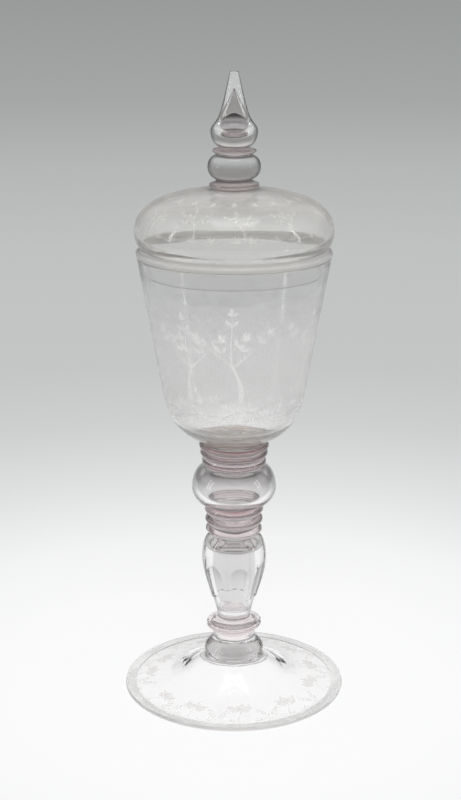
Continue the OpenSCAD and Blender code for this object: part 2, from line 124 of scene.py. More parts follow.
# %% [markdown]
# ## Fire-polishing an outline
#
# Glass leaves the furnace with a skin as smooth as a liquid. The solid's outline is made of short straight
# steps, and glass would show every one of them as a bright line. More steps would only make the lines
# finer. A cubic curve from ring to ring removes them: it meets each ring in a common direction, except
# at true corners, and beside a long straight wall, which has to stay straight.

# %% Smooth curve through the rings
CORNER = math.radians(38)
LONG_RUN = 6
CUTS = 4


def polished(path, flat_heights=(), cuts=CUTS):
    """Hermite curve through the rings: each direction is the mean of both sides, the shorter weighing more.

    Rings at the flat heights, where a joint face ends, count as corners.
    """
    step = np.diff(path, axis=0)
    length = np.linalg.norm(step, axis=1, keepdims=True)
    way = step / length
    before, after, short, long = way[:-1], way[1:], length[:-1], length[1:]
    shared = (before * long + after * short) / (long + short)
    shared = np.where(short > LONG_RUN * long, before, np.where(long > LONG_RUN * short, after, shared))
    corner = np.sum(before * after, axis=1, keepdims=True) < math.cos(CORNER)
    for flat in flat_heights:
        corner |= np.abs(path[1:-1, 1:] - flat) < RING_GAP
    leave = np.vstack([way[:1], np.where(corner, after, shared)]) * length
    arrive = np.vstack([np.where(corner, before, shared), way[-1:]]) * length
    t = (np.arange(cuts) / cuts)[:, None, None]
    curve = ((1 + 2 * t) * (1 - t) ** 2 * path[:-1] + t * (1 - t) ** 2 * leave
             + t * t * (3 - 2 * t) * path[1:] - t * t * (1 - t) * arrive)
    return np.vstack([curve.transpose(1, 0, 2).reshape(-1, 2), path[-1:]])


print("bowl:", len(OUTLINE["bowl"]), "rings become", len(polished(OUTLINE["bowl"])))

# %% [markdown]
# ## Turning an outline
#
# The outline is carried round the axis, like glass on the blowpipe. Blender's Screw or Spin could do it,
# but a plain grid of angle and outline point keeps every face in a known place, so the flat faces where
# two pieces have run together can get a finish of their own. The two ends on the axis close to a point.
# Nothing made by hand is quite straight, so one small field tilts the discs of the stem, and every piece
# passes through the same field, which keeps neighbours together.

# %% Surface of revolution
SEGMENTS = 224
# Height in metres, spread in metres and slope of each tilted place
TILTS = [(0.0410, 0.006, 0.022), (0.1030, 0.006, -0.008), (0.1160, 0.006, 0.007),
         (0.1540, 0.007, -0.006), (0.3180, 0.004, 0.012), (0.3365, 0.004, -0.008)]


def hand_made(points):
    """Tilts what is near the listed heights: z grows by x times slope times exp(-(distance / spread)^2)."""
    x, y, z = points.T
    lean = sum(slope * np.exp(-((z - height) / spread) ** 2) for height, spread, slope in TILTS)
    return np.stack([x, y, z + x * lean], 1)


def add_piece(name, points, faces, finishes, face_finish=None):
    """Mesh object at the origin from points and faces, smooth but for true corners, with its finishes."""
    mesh = bpy.data.meshes.new(name)
    mesh.from_pydata(points, [], faces)
    for finish in finishes:
        mesh.materials.append(finish)
    if face_finish is not None:
        mesh.polygons.foreach_set("material_index", face_finish.astype(np.int32))
    mesh.polygons.foreach_set("use_smooth", np.ones(len(mesh.polygons), bool))
    mesh.set_sharp_from_angle(angle=CORNER)
    mesh.update()
    piece = bpy.data.objects.new(name, mesh)
    bpy.context.scene.collection.objects.link(piece)
    return piece


def turned_shell(path, radius=None, segments=SEGMENTS, first=0):
    """Points (r cos a, r sin a, z) of a closed shell, and its faces: quads, with fans at the two poles."""
    angle = np.arange(segments) * 2 * math.pi / segments
    r = path[1:-1, :1] * np.ones(segments) if radius is None else radius
    z = path[1:-1, 1:] * np.ones(segments)
    grid = np.stack([r * np.cos(angle), r * np.sin(angle), z], -1).reshape(-1, 3)
    poles = np.array([[0, 0, path[0, 1]], [0, 0, path[-1, 1]]])
    rings = len(path) - 2
    row, column = np.meshgrid(np.arange(rings - 1), np.arange(segments), indexing="ij")
    beside = (column + 1) % segments
    quads = np.stack([row * segments + column, row * segments + beside,
                      (row + 1) * segments + beside, (row + 1) * segments + column], -1).reshape(-1, 4)
    here = np.arange(segments)
    there = (here + 1) % segments
    top = (rings - 1) * segments
    low_fan = np.stack([there, here, np.full(segments, rings * segments)], 1)
    high_fan = np.stack([top + here, top + there, np.full(segments, rings * segments + 1)], 1)
    faces = (low_fan + first).tolist() + (quads + first).tolist() + (high_fan + first).tolist()
    return hand_made(np.vstack([grid, poles])), faces


print("tilted places:", len(TILTS))

# %% [markdown]
# ## The glass
#
# The metal is a soda glass with a trace of manganese: colourless where it is thin, and faintly rose where
# it is thick, as in the rings. A tinted surface would colour a thin wall as strongly as a thick bead, so
# the colour sits inside, as absorption along the way that the light takes. The skin is not quite even: the
# noise in its bump and roughness are the cords and the faint wear of hand-made glass. The thin walls of bowl
# and cover are the most worn, and the lumps of the stem are as bright as water. At its edge the colour of a
# lump is darkened where its skin is seen at a slant: painted shade in place of the dark of the room, which
# draws its outline. The skin of a bubble inside it has no such painted line.

# %% Finishes of glass
GLASS_IOR = 1.51
# Colour that is left of white light, and how strongly it sets in per metre
CLEAR_TINT = ((0.60, 0.56, 0.57), 2.0)
WALL_TINT = ((0.62, 0.54, 0.40), 6.0)
ROSE_TINT = ((0.64, 0.46, 0.47), 2.4)
# Facing range over which the painted dark edge of a lump sets in
PAINTED_EDGE_FROM, PAINTED_EDGE_TO = 0.38, 0.74
CORD_DEPTH, CORDS_ROUND, CORDS_UP = 0.07, 40, 130
NOISE_LOW, NOISE_HIGH = 0.4, 0.8
LEAST_WEAR = 0.2
SOLID_LUMPS = ["foot_knop", "cover_knop", "finial"]
HOLLOW_LUMPS = ["baluster", "stem_knop"]


def absorbing(material, tint):
    """Links plain absorption of a colour and a density per metre to the material's volume."""
    nodes, links = material.node_tree.nodes, material.node_tree.links
    volume = nodes.new("ShaderNodeVolumeAbsorption")
    volume.inputs["Color"].default_value = (*tint[0], 1)
    volume.inputs["Density"].default_value = tint[1]
    links.new(volume.outputs["Volume"], nodes["Material Output"].inputs["Volume"])


def painted_dark_edge(material, level):
    """Darkens the skin's colour where it is seen at a slant: painted shade in place of the dark of the room
    that a lump of glass gathers there.
    """
    nodes, links = material.node_tree.nodes, material.node_tree.links
    slant = nodes.new("ShaderNodeLayerWeight")
    slant.inputs["Blend"].default_value = 0.5
    steep = nodes.new("ShaderNodeMapRange")
    steep.interpolation_type = "SMOOTHSTEP"
    steep.inputs["From Min"].default_value = PAINTED_EDGE_FROM
    steep.inputs["From Max"].default_value = PAINTED_EDGE_TO
    edge = nodes.new("ShaderNodeMix")
    edge.data_type = "RGBA"
    edge.inputs["A"].default_value = (1, 1, 1, 1)
    edge.inputs["B"].default_value = (level, level, level, 1)
    links.new(slant.outputs["Facing"], steep.inputs["Value"])
    links.new(steep.outputs["Result"], edge.inputs["Factor"])
    links.new(edge.outputs["Result"], nodes["Principled BSDF"].inputs["Base Color"])


def blown_glass(name, tint, wear=0.03, haze=0.0, colour=(1, 1, 1), cord=(CORD_DEPTH, CORDS_UP)):
    """Clear refracting skin over absorbing glass, with cords drawn out round the axis by the turning.

    A cord is its depth in millimetres and how many follow each other up a metre.
    """
    material = bpy.data.materials.new(name)
    material.use_nodes = True
    nodes, links = material.node_tree.nodes, material.node_tree.links
    skin = nodes["Principled BSDF"]
    skin.inputs["Base Color"].default_value = (*colour, 1)
    skin.inputs["IOR"].default_value = GLASS_IOR
    skin.inputs["Transmission Weight"].default_value = 1 - haze
    place = nodes.new("ShaderNodeTexCoord")
    drawn = nodes.new("ShaderNodeMapping")
    drawn.inputs["Scale"].default_value = (CORDS_ROUND, CORDS_ROUND, cord[1])
    cords = nodes.new("ShaderNodeTexNoise")
    cords.inputs["Scale"].default_value = 1.0
    cords.inputs["Detail"].default_value = 2.0
    links.new(place.outputs["Object"], drawn.inputs["Vector"])
    links.new(drawn.outputs["Vector"], cords.inputs["Vector"])
    bump = nodes.new("ShaderNodeBump")
    bump.inputs["Distance"].default_value = cord[0] * MM
    links.new(cords.outputs["Fac"], bump.inputs["Height"])
    links.new(bump.outputs["Normal"], skin.inputs["Normal"])
    rubbed = nodes.new("ShaderNodeMapRange")
    rubbed.inputs["From Min"].default_value = NOISE_LOW
    rubbed.inputs["From Max"].default_value = NOISE_HIGH
    rubbed.inputs["To Min"].default_value = LEAST_WEAR * wear
    rubbed.inputs["To Max"].default_value = wear
    links.new(cords.outputs["Fac"], rubbed.inputs["Value"])
    links.new(rubbed.outputs["Result"], skin.inputs["Roughness"])
    absorbing(material, tint)
    return material


def run_together(name, tint):
    """Flat face where two hot pieces have become one: light passes straight on, inside the same tint."""
    material = bpy.data.materials.new(name)
    material.use_nodes = True
    nodes, links = material.node_tree.nodes, material.node_tree.links
    nodes.remove(nodes["Principled BSDF"])
    through = nodes.new("ShaderNodeBsdfTransparent")
    links.new(through.outputs["BSDF"], nodes["Material Output"].inputs["Surface"])
    absorbing(material, tint)
    return material


WALL_GLASS = blown_glass("clear_glass_wall", WALL_TINT, wear=0.18, haze=0.06)
COVER_GLASS = blown_glass("clear_glass_cover", WALL_TINT, wear=0.12, haze=0.05)
RIM_GLASS = blown_glass("clear_glass_rim", WALL_TINT, wear=0.1, haze=0.5)
FOOT_GLASS = blown_glass("clear_glass_foot", CLEAR_TINT, wear=0.06, cord=(0.4, CORDS_UP))
SOLID_GLASS = blown_glass("clear_glass_solid", CLEAR_TINT)
# The lumps get a painted dark edge: painted shade at a slant, nearly black on the solid lumps
painted_dark_edge(SOLID_GLASS, level=0.04)
HOLLOW_GLASS = blown_glass("clear_glass_hollow", CLEAR_TINT, wear=0.08, haze=0.03)
painted_dark_edge(HOLLOW_GLASS, level=0.35)
BUBBLE_GLASS = blown_glass("clear_glass_bubble", CLEAR_TINT)
CORDED_GLASS = blown_glass("clear_glass_corded", CLEAR_TINT, cord=(0.5, 320))
painted_dark_edge(CORDED_GLASS, level=0.2)
PALE_ROSE_GLASS = blown_glass("rose_glass_pale", ROSE_TINT, wear=0.08, haze=0.12,
                              colour=(0.98, 0.93, 0.93))
ROSE_GLASS = blown_glass("rose_glass", ROSE_TINT, wear=0.06, haze=0.05,
                         colour=(0.99, 0.94, 0.96), cord=(0.2, 160))
GROUND_RING = blown_glass("clear_glass_ground", CLEAR_TINT, wear=0.9)
JOINED = {"clear_glass": run_together("clear_glass_joint", CLEAR_TINT),
          "rose_glass": run_together("rose_glass_joint", ROSE_TINT)}


def glass_of(node):
    """Finish of a node's skin: rose, a solid or hollow lump, the foot, or the thin wall of cover or bowl."""
    if SLOT_OF[node] == "rose_glass":
        return PALE_ROSE_GLASS if BODY_OF[node] == "cover" else ROSE_GLASS
    if node in SOLID_LUMPS:
        return CORDED_GLASS if node == "foot_knop" else SOLID_GLASS
    if node in HOLLOW_LUMPS:
        return HOLLOW_GLASS
    return {"foot": FOOT_GLASS, "cover_dome": COVER_GLASS}.get(node, WALL_GLASS)


print("finishes:", sum(material.name.startswith(("clear", "rose")) for material in bpy.data.materials))

# %% [markdown]
# ## Joints and air spaces
#
# The gathers were stuck to each other hot, so inside the stem there is no surface between them. If two
# pieces of glass only touched, light would turn back at each joint and the stem would look like a pile of
# mirrors. Each joint face is set back by a hair and lets light straight through. An air space was blown or
# pricked in through a small hole, which the next gather closed for good. The solids keep that hole, and
# here it is closed: the outline is parted into the outer skin and the skin of the bubble.
#
# Some bands of an outline have a finish of their own. The rolled rims are full of fine lines, which together
# look hazy. The ring under the foot was ground to stand level, and the pontil iron left a rough spot.

# %% Faces that have run together
STACK = {"goblet": ["foot", "foot_knop", "foot_collar", "lower_merese", "baluster",
                    "lower_ring_1", "lower_ring_2", "lower_ring_3", "stem_knop",
                    "upper_ring_1", "upper_ring_2", "upper_ring_3", "bowl"],
         "cover": ["cover_dome", "cover_wafer", "cover_merese", "cover_knop", "finial_merese", "finial"]}
SET_BACK = 0.008 * MM
HOLE_R = {"stem_knop": 2.5 * MM, "finial": 1.25 * MM}
PONTIL_R = 6.5 * MM
# Lowest and highest height and least radius of each rim
RIMS = {"foot": (0.0002, 0.0026, 0.0675),
        "bowl": (0.2738, 0.2751, 0.05),
        "cover_dome": (0.2749, 0.2803, 0.054)}
NO_RIM = (1, 1, 1)
SKIN, JOINT, GROUND, RIM, BUBBLE_SKIN = range(5)


def joint_heights(node):
    """Heights of the joints below and above a piece of a stack, or None at the ends of the stack."""
    stack = next(names for names in STACK.values() if node in names)
    low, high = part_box(node)
    return (None if node == stack[0] else low.z), (None if node == stack[-1] else high.z)


def parted(path, hole_r):
    """Parts an outline at its hole: both halves are closed on the axis, at the hole's two ends."""
    ends = np.flatnonzero(np.abs(path[:, 0] - hole_r) < RING_GAP)
    first, second = path[:ends[0] + 1], path[ends[1]:]
    return [np.vstack([first, first[-1:] * [0, 1]]), np.vstack([second[:1] * [0, 1], second])]


def joint_bands(path, node):
    """For every band of an outline, whether it is a joint face; and the outline with those faces set back."""
    set_path = path.copy()
    bands = np.zeros(len(path) - 1, bool)
    for height, shift in zip(joint_heights(node), (SET_BACK, -SET_BACK)):
        if height is not None:
            level = np.abs(path[:, 1] - height) < RING_GAP
            bands |= level[:-1] & level[1:]
            set_path[level, 1] += shift
    return bands, set_path


def band_finish(path, bands, node):
    """Finish number of every band: a joint, ground to stand on or snapped off, a rim, or else plain skin."""
    middle_r, middle = ((path[1:] + path[:-1]) / 2).T
    on_table = np.abs(path[:, 1]) < RING_GAP
    low, high, inner = RIMS.get(node, NO_RIM)
    ground = (on_table[:-1] & on_table[1:]) | ((node == "foot") & (middle_r < PONTIL_R))
    choices = [bands, ground, (middle > low) & (middle < high) & (middle_r > inner)]
    return np.select(choices, [JOINT, GROUND, RIM], SKIN)


def glass_piece(node, paths, radius=None, segments=SEGMENTS):
    """Closed glass piece for a node, of one shell for each outline, with its joint faces let through."""
    points, faces, finish = np.empty((0, 3)), [], []
    widest = max(path[:, 0].max() for path in paths)
    for number, path in enumerate(paths):
        bands, path = joint_bands(path, node)
        shell, shell_faces = turned_shell(path, None if number else radius, segments, len(points))
        points = np.vstack([points, shell])
        faces += shell_faces
        outside = path[:, 0].max() == widest
        band = band_finish(path, bands, node) if outside else np.full(len(path) - 1, BUBBLE_SKIN)
        finish.append(np.repeat(band, segments))
    finishes = [glass_of(node), JOINED[SLOT_OF[node]], GROUND_RING, RIM_GLASS, BUBBLE_GLASS]
    piece = add_piece(node + "_glass", points, faces, finishes, np.concatenate(finish))
    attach(piece, BODY_OF[node])
    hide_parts(node)
    return piece


def skins_of(node):
    """Smooth outlines of a turned piece, one for each shell, with flat joints and within its height."""
    flats = [height for height in joint_heights(node) if height is not None]
    path = OUTLINE[node]
    shells = parted(path, HOLE_R[node]) if node in HOLE_R else [path]
    curves = [polished(shell, flats) for shell in shells]
    low, high = path[:, 1].min(), path[:, 1].max()
    return [np.stack([curve[:, 0], np.clip(curve[:, 1], low, high)], 1) for curve in curves]


SKINS = {node: skins_of(node) for node in OUTLINE}
ROUND_PIECES = [glass_piece(node, paths) for node, paths in SKINS.items()]
print("round pieces:", len(ROUND_PIECES), "with a bubble:", [node for node in SKINS if len(SKINS[node]) > 1])

# %% [markdown]
# ## The baluster
#
# The baluster was blown hollow and turned upside down, and its lower half was ground flat on a wheel in
# seven facets. A Boolean would leave long thin triangles beside each facet. As a function it is short:
# at each angle and height the radius is the smaller one of the round form and of the leaning plane, and a
# soft minimum rounds the arrises a little, as polishing does.

# %% Round form of the baluster
FACETS = 7
FACET_TURN = math.radians(10)
NECK_JOINT_R, NECK_R, NECK_H = 10.2 * MM, 13.2 * MM, 14 * MM
HEM_R, BULGE_R, BULGE_H, TOP_JOINT_R = 14.5 * MM, 20 * MM, 40.5 * MM, 13.5 * MM
FACET_LOW_CUT, FACET_TOP_H, FACET_HIGH_CUT = 1.1 * MM, 38.6 * MM, 0.1 * MM
ROOF_T, FLOOR_Z, HOLLOW_R, HOLLOW_LOW_R = 6.2 * MM, 4.4 * MM, 13.9 * MM, 9 * MM
ARRIS_BLEND = 0.05 * MM
ROUND_K = 0.5523


def bezier(a, b, c, d, count=40):
    """Cubic Bezier curve: the weights are u^3, 3u^2t, 3ut^2 and t^3 with u = 1 - t."""
    t = np.linspace(0, 1, count)[:, None]
    u = 1 - t
    a, b, c, d = (np.array(p, float) for p in (a, b, c, d))
    return u ** 3 * a + 3 * u * u * t * b + 3 * u * t * t * c + t ** 3 * d


def quarter(a, b, upright_first, count=24):
    """Quarter of an ellipse from a to b, leaving level and ending upright, or the other way round."""
    (ar, az), (br, bz) = a, b
    if upright_first:
        return bezier(a, (ar, az + ROUND_K * (bz - az)), (br + ROUND_K * (ar - br), bz), b, count)
    return bezier(a, (ar + ROUND_K * (br - ar), az), (br, bz + ROUND_K * (az - bz)), b, count)


BALUSTER_LOW, BALUSTER_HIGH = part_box("baluster")
BALUSTER_H = BALUSTER_HIGH.z - BALUSTER_LOW.z
HEM_H = NECK_H + HEM_R - NECK_R
OUTSIDE = np.vstack([
    [(0, 0)],
    bezier((NECK_JOINT_R, 0), (NECK_JOINT_R, NECK_H * 0.3),
           (NECK_R - 0.6 * MM, NECK_H * 0.7), (NECK_R, NECK_H)),
    quarter((NECK_R, NECK_H), (HEM_R, HEM_H), False)[1:],
    bezier((HEM_R, HEM_H), (HEM_R + 2.2 * MM, HEM_H + 8 * MM),
           (BULGE_R, BULGE_H - 9 * MM), (BULGE_R, BULGE_H), 60)[1:],
    quarter((BULGE_R, BULGE_H), (TOP_JOINT_R, BALUSTER_H), True)[1:],
    [(0, BALUSTER_H)]])
ROOF_Z = BALUSTER_H - ROOF_T
WIDE_Z = ROOF_Z - HOLLOW_R * 0.25
NARROW_Z = FLOOR_Z + HOLLOW_LOW_R * 0.3
HOLLOW_RISE = WIDE_Z - NARROW_Z
BUBBLE = np.vstack([
    quarter((0, ROOF_Z), (HOLLOW_R, WIDE_Z), False),
    bezier((HOLLOW_R, WIDE_Z), (HOLLOW_R, WIDE_Z - HOLLOW_RISE * 0.6),
           (HOLLOW_LOW_R, NARROW_Z + HOLLOW_RISE * 0.2), (HOLLOW_LOW_R, NARROW_Z))[1:],
    quarter((HOLLOW_LOW_R, NARROW_Z), (0, FLOOR_Z), True)[1:]])
print("baluster outlines:", len(OUTSIDE), len(BUBBLE), "points,", round(BALUSTER_H / MM, 1), "mm high")

# %% Facets of the baluster
FACET_SEGMENTS = 420


def facet_radius(angle, height):
    """Distance of the facet planes along each angle: the plane's distance over the cosine of its offset."""
    share = 2 * math.pi / FACETS
    offset = (angle + math.pi / 2 - FACET_TURN + share / 2) % share - share / 2
    low, high = HEM_R - FACET_LOW_CUT, BULGE_R - FACET_HIGH_CUT
    return (low + (high - low) * (height - NECK_H) / (FACET_TOP_H - NECK_H)) / np.cos(offset)


def soft_minimum(a, b, blend):
    """The smaller of two radii, eased where they are closer than the blend."""
    near = np.clip(0.5 + 0.5 * (b - a) / blend, 0, 1)
    return b + (a - b) * near - blend * near * (1 - near)


angle = np.arange(FACET_SEGMENTS) * 2 * math.pi / FACET_SEGMENTS
round_r = OUTSIDE[1:-1, :1] * np.ones(FACET_SEGMENTS)
height = OUTSIDE[1:-1, 1:]
cut_r = soft_minimum(round_r, facet_radius(angle, height), ARRIS_BLEND)
STAND = np.array([0, BALUSTER_LOW.z])
baluster = glass_piece("baluster", [OUTSIDE + STAND, BUBBLE + STAND],
                       np.where(height > NECK_H, cut_r, round_r), FACET_SEGMENTS)
print("baluster facets:", FACETS, "faces:", len(baluster.data.polygons))

# %% [markdown]
# ## The engraving
#
# Foot, bowl and cover carry a woodland, cut with small copper wheels. Each touch of a wheel leaves one matte
# stroke: broad in its middle for a leaf, tapering for a twig. A painted picture would have no edge to catch
# the light, and cutting real grooves would need a far finer skin of glass, so every stroke is a low matte
# ridge. It is laid out on the flat, in millimetres round and along the glass, and then wrapped on to it.

# %% Strokes wrapped on to the glass
LEAF_T = np.linspace(0.06, 0.94, 5)
TWIG_T = np.linspace(0.01, 0.99, 5)
ACROSS = np.array([-1, -0.5, 0.5, 1, 0.5, -0.5])
LIFT = np.array([0.03, 0.06, 0.06, 0.03, 0.012, 0.012]) * MM


def chart_of(path):
    """Function that reads radius, height and outward normal of an outline at any length along it."""
    step = np.diff(path, axis=0)
    length = np.linalg.norm(step, axis=1)
    run = np.concatenate([[0], np.cumsum(length)])
    way = np.vstack([step, step[-1:]]) / np.append(length, length[-1])[:, None]
    columns = [path[:, 0], path[:, 1], way[:, 1], -way[:, 0]]
    return lambda y: [np.interp(y, run, column) for column in columns]


def on_glass(chart, angle, x, y, lift):
    """Points x round the axis from an angle and y along the outline, lifted along the outward normal."""
    r, z, out_r, out_z = chart(y)
    turn = angle + x / r
    r, z = r + lift * out_r, z + lift * out_z
    return np.stack([r * np.cos(turn), r * np.sin(turn), z], -1)


def stroke_points(strokes, chart):
    """Points of all strokes: five rings of six along a bent line, then its two tips."""
    angle, x0, y0, x1, y1, half, bend, leaf = strokes.T[:, :, None]
    t = np.where(leaf > 0, LEAF_T, TWIG_T)
    dx, dy = x1 - x0, y1 - y0
    sway, turn = 4 * bend * t * (1 - t), 4 * bend * (1 - 2 * t)
    way_x, way_y = dx - dy * turn, dy + dx * turn
    half = half * np.where(leaf > 0, np.sin(math.pi * t) ** 0.8, 1 - 0.65 * t) / np.hypot(way_x, way_y)
    x = (x0 + dx * t - dy * sway)[..., None] - (way_y * half)[..., None] * ACROSS
    y = (y0 + dy * t + dx * sway)[..., None] + (way_x * half)[..., None] * ACROSS
    rings = on_glass(chart, angle[..., None], x * MM, y * MM, LIFT).reshape(len(strokes), -1, 3)
    tips = on_glass(chart, angle, np.hstack([x0, x1]) * MM, np.hstack([y0, y1]) * MM, LIFT[0])
    return np.concatenate([rings, tips], 1)


def stroke_faces(count):
    """Faces of that many strokes, quads between rings and fans to the two tips; and which lie beneath."""
    sides, spans = len(LIFT), len(LEAF_T) - 1
    ring, here = np.meshgrid(np.arange(spans) * sides, np.arange(sides), indexing="ij")
    there = (here + 1) % sides
    quads = np.stack([ring + here, ring + sides + here, ring + sides + there, ring + there], -1)
    quads = quads.reshape(-1, 4)
    here, there = here[0], there[0]
    last = spans * sides
    tip = np.full(sides, last + sides)
    fans = np.vstack([np.stack([tip, here, there], 1), np.stack([tip + 1, last + there, last + here], 1)])
    first = np.arange(count)[:, None, None] * (last + sides + 2)
    under = np.arange(sides) >= sides // 2
    beneath = np.concatenate([np.tile(under, count * spans), np.tile(under, count * 2)])
    return (quads + first).reshape(-1, 4).tolist() + (fans + first).reshape(-1, 3).tolist(), beneath


print("faces of a stroke:", len(stroke_faces(1)[0]))

# %% [markdown]
# The motifs are the usual ones of a woodland frieze: forked trees with paired oval leaves, bushes, tufts of
# grass and hatched hills. Each is a list of strokes on the flat, drawn from a fixed seed, so no two are alike
# and every run gives the same glass.

# %% Motifs of the woodland
RNG = np.random.default_rng(11)


def sprig(x, y, way, length, leaf, pairs):
    """Stalk with pairs of oval leaves that shrink towards its end, and one more leaf at the end."""
    t = np.repeat(np.linspace(0.35, 0.95, pairs), 2)
    side = np.tile([-1.0, 1.0], pairs)
    size = leaf * (1.15 - 0.4 * t) * RNG.uniform(0.85, 1.15, 2 * pairs)
    turn = way + side * RNG.uniform(0.6, 1.0, 2 * pairs)
    from_x, from_y = x + t * length * math.cos(way), y + t * length * math.sin(way)
    leaves = np.stack([from_x, from_y, from_x + size * np.cos(turn), from_y + size * np.sin(turn),
                       0.23 * size, 0.06 * side, np.ones(2 * pairs)], 1)
    end_x, end_y = x + length * math.cos(way), y + length * math.sin(way)
    stalk = [x, y, end_x, end_y, 0.22, 0, 0]
    end = [end_x, end_y, end_x + leaf * math.cos(way), end_y + leaf * math.sin(way), 0.23 * leaf, 0, 1]
    return np.vstack([stalk, end, leaves])


def tree(height):
    """Leaning trunk that forks into three long limbs, each with a sprig on one side and one at its end."""
    lean = RNG.uniform(-0.1, 0.1)
    fork_x, fork_y = lean * height, 0.4 * height
    parts = [[0, 0, fork_x, fork_y, 0.035 * height, lean, 0]]
    for way in math.pi / 2 + np.array([0.8, 0.1, -0.7]) + RNG.uniform(-0.12, 0.12, 3):
        length = height * RNG.uniform(0.32, 0.42)
        limb = length * np.array([math.cos(way), math.sin(way)])
        bend = RNG.uniform(-0.08, 0.08)
        parts.append([fork_x, fork_y, fork_x + limb[0], fork_y + limb[1], 0.014 * height, bend, 0])
        for share, side in ((0.5, RNG.choice([-0.8, 0.8])), (1.0, 0.0)):
            parts.append(sprig(fork_x + share * limb[0], fork_y + share * limb[1], way + side,
                               0.2 * height, 0.09 * height, 2))
    return np.vstack(parts)


def young_tree(height):
    """Thin bent trunk under a crown of three leafy sprigs."""
    lean = RNG.uniform(-0.25, 0.25)
    top_x, top_y = lean * height, 0.42 * height
    parts = [[0, 0, top_x, top_y, 0.03 * height, 0.5 * lean, 0]]
    for turn in np.array([-0.8, 0.0, 0.8]) + RNG.uniform(-0.15, 0.15, 3):
        parts.append(sprig(top_x, top_y, math.pi / 2 + turn, 0.34 * height, 0.2 * height, 4))
    return np.vstack(parts)


def forked_sprig(height):
    """Two leafy sprigs that part from one foot."""
    spread = RNG.uniform(0.4, 0.6)
    parts = [sprig(0, 0, math.pi / 2 + side * spread, 0.75 * height, 0.2 * height, 4) for side in (-1, 1)]
    return np.vstack(parts)


def fan(size, count, slim):
    """Leaves that spread from one point like an open hand: broad for a bush, slim for grass."""
    way = np.linspace(0.25, math.pi - 0.25, count) + RNG.uniform(-0.12, 0.12, count)
    length = size * (0.7 + 0.3 * np.sin(way)) * RNG.uniform(0.85, 1.15, count)
    zero = np.zeros(count)
    return np.stack([zero, zero, length * np.cos(way), length * np.sin(way), slim * length,
                     RNG.uniform(-0.08, 0.08, count), np.ones(count)], 1)


def hill(width, rise, count):
    """Arched outline of a hill, with hatching that runs down from it."""
    x = np.linspace(-0.45, 0.45, count) * width
    top = rise * (1 - (2 * x / width) ** 2) - 0.5
    hatch = np.stack([x, top, x + RNG.uniform(0.8, 2.2, count), top - rise * RNG.uniform(0.3, 0.7, count),
                      np.full(count, 0.16), np.full(count, 0.06), np.zeros(count)], 1)
    return np.vstack([[-width / 2, 0, width / 2, 0, 0.3, rise / width, 0], hatch])


def scratches(width, depth, count):
    """Short level strokes, strewn over a strip, that shade the ground."""
    x, y = RNG.uniform(-0.5, 0.5, count) * width, -depth * RNG.uniform(0, 1, count)
    length = RNG.uniform(2.5, 8, count)
    return np.stack([x, y, x + length, y + RNG.uniform(-0.6, 0.6, count), RNG.uniform(0.1, 0.22, count),
                     RNG.uniform(-0.06, 0.06, count), np.zeros(count)], 1)


def petal(width, height):
    """Pointed arch of two bent strokes round one leaf."""
    return np.array([[-width / 2, 0, 0, height, 0.3, -0.16, 0], [width / 2, 0, 0, height, 0.3, 0.16, 0],
                     [0, height * 0.1, 0, height * 0.75, width * 0.16, 0, 1]])


def planted(motif, angle, y):
    """Strokes of a motif with the angle that it stands at, and moved along the glass."""
    return np.column_stack([np.full(len(motif), angle), motif + [0, y, 0, y, 0, 0, 0]])


def around(count, start=0.0, loose=0.0):
    """Angles spread evenly round the axis from the front, each a little out of place."""
    return -math.pi / 2 + start + 2 * math.pi * (np.arange(count) + RNG.uniform(-loose, loose, count)) / count


print("strokes of a tree:", len(tree(40)))

# %% [markdown]
# The matte finish scatters light back, so the engraving is lighter than a grey ground and darker than a white
# one. The ground glass is grainy, so its cover varies from grain to grain. Trees stand round the bowl on
# hatched hills, the cover repeats them in small under a ring of petals, and on the foot they point inwards
# from a frosted band along the rim.
#
# Fine cutting and long use have also dulled the walls. A rougher skin would blur what is seen through them,
# so bowl and cover have a frosted band as well: a sheet so thin that it only changes their tone. On the bowl
# it is strongest halfway up the wall, and it fades out above and below.

# %% Engraving of bowl, cover and foot
# Lengths along the glass in millimetres: the ground line of each frieze, and start, end and rows of each band
BOWL_GROUND, COVER_GROUND, PETALS, FOOT_GROUND = 63, 4, 28, 8
BOWL_BAND, COVER_BAND, FOOT_BAND = (8, 122, 40), (0.5, 65.5, 44), (1.6, FOOT_GROUND, 6)
# Height in metres that the bowl's frost is centred on, and how far from there its fading starts and ends
BOWL_FADE = (0.216, 0.0, 0.085)
# Size in millimetres, number round the axis and phase of the waves in a band's edge
BAND_WAVES = [(1.5, 5, 0.6), (1.0, 11, 2.0), (0.5, 23, 0.0)]
BAND_SEGMENTS = 720
CUT_COLOURS = {"foot": (0.91, 0.89, 0.88), "bowl": (0.94, 0.93, 0.93), "cover_dome": (0.94, 0.92, 0.88)}
STROKE_COVER = {"foot": 0.66, "bowl": 0.62, "cover_dome": 0.28}
BAND_COVER = {"foot": 0.17, "bowl": 0.46, "cover_dome": 0.24}
BENEATH = 0.3
MATTE, ONWARD_SHARE = 0.9, 0.15
GRAINS, GRAIN_LOW, GRAIN_HIGH, GRAIN_SPREAD = 2200, 0.3, 0.7, 0.15
FADE_DEPTH = 1.4


